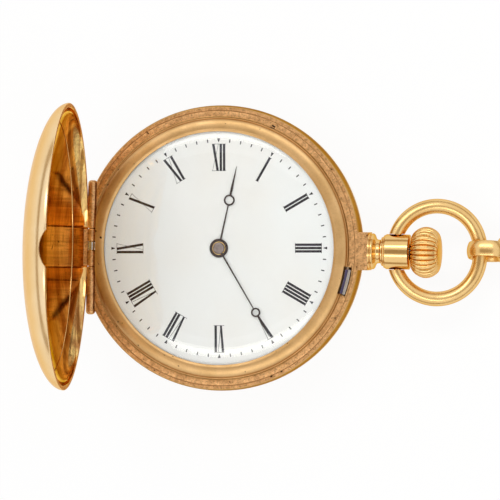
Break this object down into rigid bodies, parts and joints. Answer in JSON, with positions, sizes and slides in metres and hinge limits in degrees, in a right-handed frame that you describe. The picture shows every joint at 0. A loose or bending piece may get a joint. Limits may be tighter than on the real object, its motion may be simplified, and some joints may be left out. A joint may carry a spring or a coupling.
{
  "type": "pocket watch",
  "caption": "Hunter pocket watch with hinged lid, back and dust cover, winding crown, bow with chain links, enamel dial, hands and a geared movement.",
  "frame": {"origin": "Centre of the flat on which the watch rests, under the centre of the case.", "axes": "+X from the case's centre to the pendant and crown, +Y towards twelve on the dial, +Z out of the dial. The lid is stored open."},
  "size_m": [0.0612, 0.0362, 0.0417],
  "materials": {
    "case_gold": "polished",
    "cuvette_metal": "satin",
    "wheel_brass": "satin",
    "copper": "satin",
    "nickel": "satin",
    "steel": "polished",
    "blued_steel": "polished",
    "hand_dark": "satin",
    "enamel": "gloss",
    "ruby": "polished",
    "crystal": "polished"
  },
  "bodies": {
    "case": {"case_middle": "case_gold", "case_joint_tubes": "case_gold", "pendant": "case_gold", "pendant_sleeve": "steel", "bezel": "case_gold", "crystal": "crystal", "lift_spring": "steel", "front_hinge_pin": "case_gold", "back_hinge_pin": "case_gold", "case_screws": "blued_steel", "dial_enamel": "enamel", "dial_base": "copper", "main_plate": "nickel", "barrel_bridge": "nickel", "train_bridge": "nickel", "balance_cock": "nickel", "pallet_cock": "nickel", "bridge_screws": "blued_steel", "jewels": "ruby", "crown_wheel_core": "steel", "click_spring": "steel"},
    "lid": {"front_lid": "case_gold", "front_lid_joint": "case_gold"},
    "back": {"back_cover": "case_gold", "back_cover_joint": "case_gold"},
    "dust_cover": {"cuvette": "cuvette_metal", "cuvette_joint": "cuvette_metal"},
    "bow": {"bow": "case_gold"},
    "link_1": {"chain_link_1": "case_gold"},
    "link_2": {"chain_link_2": "case_gold"},
    "pinions": {"winding_pinion": "steel", "sliding_pinion": "steel"},
    "crown": {"crown": "case_gold", "stem": "steel"},
    "lock": {"lock_spring": "steel"},
    "crown_wheel": {"crown_wheel": "steel"},
    "ratchet": {"ratchet_wheel": "steel", "ratchet_screw": "blued_steel", "barrel_arbor": "steel"},
    "minute": {"cannon_pinion": "steel", "minute_hand": "hand_dark"},
    "minute_wheel": {"minute_wheel": "wheel_brass"},
    "hour": {"hour_wheel": "wheel_brass", "hour_hand": "hand_dark"},
    "barrel": {"barrel": "wheel_brass", "barrel_cover": "wheel_brass", "mainspring": "blued_steel"},
    "centre": {"centre_wheel": "wheel_brass"},
    "third": {"third_wheel": "wheel_brass"},
    "fourth": {"fourth_wheel": "wheel_brass"},
    "escape": {"escape_wheel": "steel"},
    "pallet": {"pallet_fork": "steel"},
    "balance": {"balance_wheel": "wheel_brass", "balance_roller": "steel", "hairspring": "blued_steel"},
    "regulator": {"regulator": "steel"},
    "click": {"click": "steel"}
  },
  "joints": [
    {"name": "lid_hinge", "type": "hinge", "parent": "case", "child": "lid", "pos_m": [-0.0166, 0, 0.00728], "axis": [0, 1, 0], "range_deg": [0, 86.8], "stiffness_Nm_per_rad": 0.001, "springref_deg": -28.65},
    {"name": "back_hinge", "type": "hinge", "parent": "case", "child": "back", "pos_m": [-0.0166, 0, 0.00522], "axis": [0, 1, 0], "range_deg": [0, 95]},
    {"name": "dust_cover_hinge", "type": "hinge", "parent": "case", "child": "dust_cover", "pos_m": [-0.0166, 0, 0.00522], "axis": [0, 1, 0], "range_deg": [0, 76]},
    {"name": "bow_swing", "type": "hinge", "parent": "case", "child": "bow", "pos_m": [0.02266, 0, 0.00625], "axis": [0, 1, 0], "range_deg": [-113, 77]},
    {"name": "link_1_swing", "type": "hinge", "parent": "bow", "child": "link_1", "pos_m": [0.03266, 0, 0.003], "axis": [0, 1, 0], "range_deg": [-20, 20]},
    {"name": "link_2_swing", "type": "hinge", "parent": "link_1", "child": "link_2", "pos_m": [0.03393, 0, 0.003], "axis": [0, 0.9781, -0.2079], "range_deg": [-15, 15]},
    {"name": "crown_turn", "type": "hinge", "parent": "case", "child": "pinions", "pos_m": [0.018, 0, 0.00625], "axis": [1, 0, 0], "continuous": true},
    {"name": "crown_push", "type": "slide", "parent": "pinions", "child": "crown", "axis": [1, 0, 0], "range_m": [-0.0003, 0], "stiffness_N_per_m": 400},
    {"name": "lock_spring_flex", "type": "hinge", "parent": "case", "child": "lock", "pos_m": [0.00396, -0.01589, 0.0064], "axis": [0, 0, 1], "range_deg": [0, 1.2]},
    {"name": "crown_wheel_turn", "type": "hinge", "parent": "case", "child": "crown_wheel", "pos_m": [0.0096, 0, 0.00375], "axis": [0, 0, 1], "continuous": true},
    {"name": "ratchet_turn", "type": "hinge", "parent": "case", "child": "ratchet", "pos_m": [0.0038, 0.00485, 0.00375], "axis": [0, 0, 1], "continuous": true},
    {"name": "minute_turn", "type": "hinge", "parent": "case", "child": "minute", "pos_m": [0, 0, 0.0082], "axis": [0, 0, 1], "continuous": true},
    {"name": "minute_wheel_turn", "type": "hinge", "parent": "case", "child": "minute_wheel", "pos_m": [-0.00301, -0.00109, 0.00695], "axis": [0, 0, 1], "continuous": true},
    {"name": "hour_turn", "type": "hinge", "parent": "case", "child": "hour", "pos_m": [0, 0, 0.0074], "axis": [0, 0, 1], "continuous": true},
    {"name": "fourth_turn", "type": "hinge", "parent": "case", "child": "fourth", "pos_m": [-0.00272, -0.00408, 0.0052], "axis": [0, 0, 1], "continuous": true},
    {"name": "third_turn", "type": "hinge", "parent": "case", "child": "third", "pos_m": [-0.00496, -0.00088, 0.0052], "axis": [0, 0, 1], "continuous": true},
    {"name": "centre_turn", "type": "hinge", "parent": "case", "child": "centre", "pos_m": [0, 0, 0.0052], "axis": [0, 0, 1], "continuous": true},
    {"name": "barrel_turn", "type": "hinge", "parent": "case", "child": "barrel", "pos_m": [0.0038, 0.00485, 0.0054], "axis": [0, 0, 1], "continuous": true},
    {"name": "escape_turn", "type": "hinge", "parent": "case", "child": "escape", "pos_m": [-0.00027, -0.00653, 0.0052], "axis": [0, 0, 1], "continuous": true},
    {"name": "pallet_swing", "type": "hinge", "parent": "case", "child": "pallet", "pos_m": [0.00223, -0.00644, 0.0056], "axis": [0, 0, 1], "range_deg": [-6, 6]},
    {"name": "balance_swing", "type": "hinge", "parent": "case", "child": "balance", "pos_m": [0.00536, -0.00633, 0.0045], "axis": [0, 0, 1], "range_deg": [-135, 135], "stiffness_Nm_per_rad": 0.000001},
    {"name": "regulator_swing", "type": "hinge", "parent": "case", "child": "regulator", "pos_m": [0.00536, -0.00633, 0.0032], "axis": [0, 0, 1], "range_deg": [-15, 15]},
    {"name": "click_swing", "type": "hinge", "parent": "case", "child": "click", "pos_m": [-0.00067, 0.0086, 0.0037], "axis": [0, 0, 1], "range_deg": [0, 6], "stiffness_Nm_per_rad": 0.00002}
  ],
  "couplings": [
    {"joint": "dust_cover_hinge", "follows": "back_hinge", "ratio": 0.8},
    {"joint": "lock_spring_flex", "follows": "crown_push", "rad_per_m": -66.2},
    {"joint": "crown_wheel_turn", "follows": "crown_turn", "ratio": 0.41667},
    {"joint": "ratchet_turn", "follows": "crown_turn", "ratio": -0.25641},
    {"joint": "minute_wheel_turn", "follows": "minute_turn", "ratio": -0.33333},
    {"joint": "hour_turn", "follows": "minute_turn", "ratio": 0.083333},
    {"joint": "third_turn", "follows": "fourth_turn", "ratio": -0.13333},
    {"joint": "centre_turn", "follows": "fourth_turn", "ratio": 0.016667},
    {"joint": "barrel_turn", "follows": "fourth_turn", "ratio": -0.0021368},
    {"joint": "escape_turn", "follows": "fourth_turn", "ratio": -10}
  ]
}
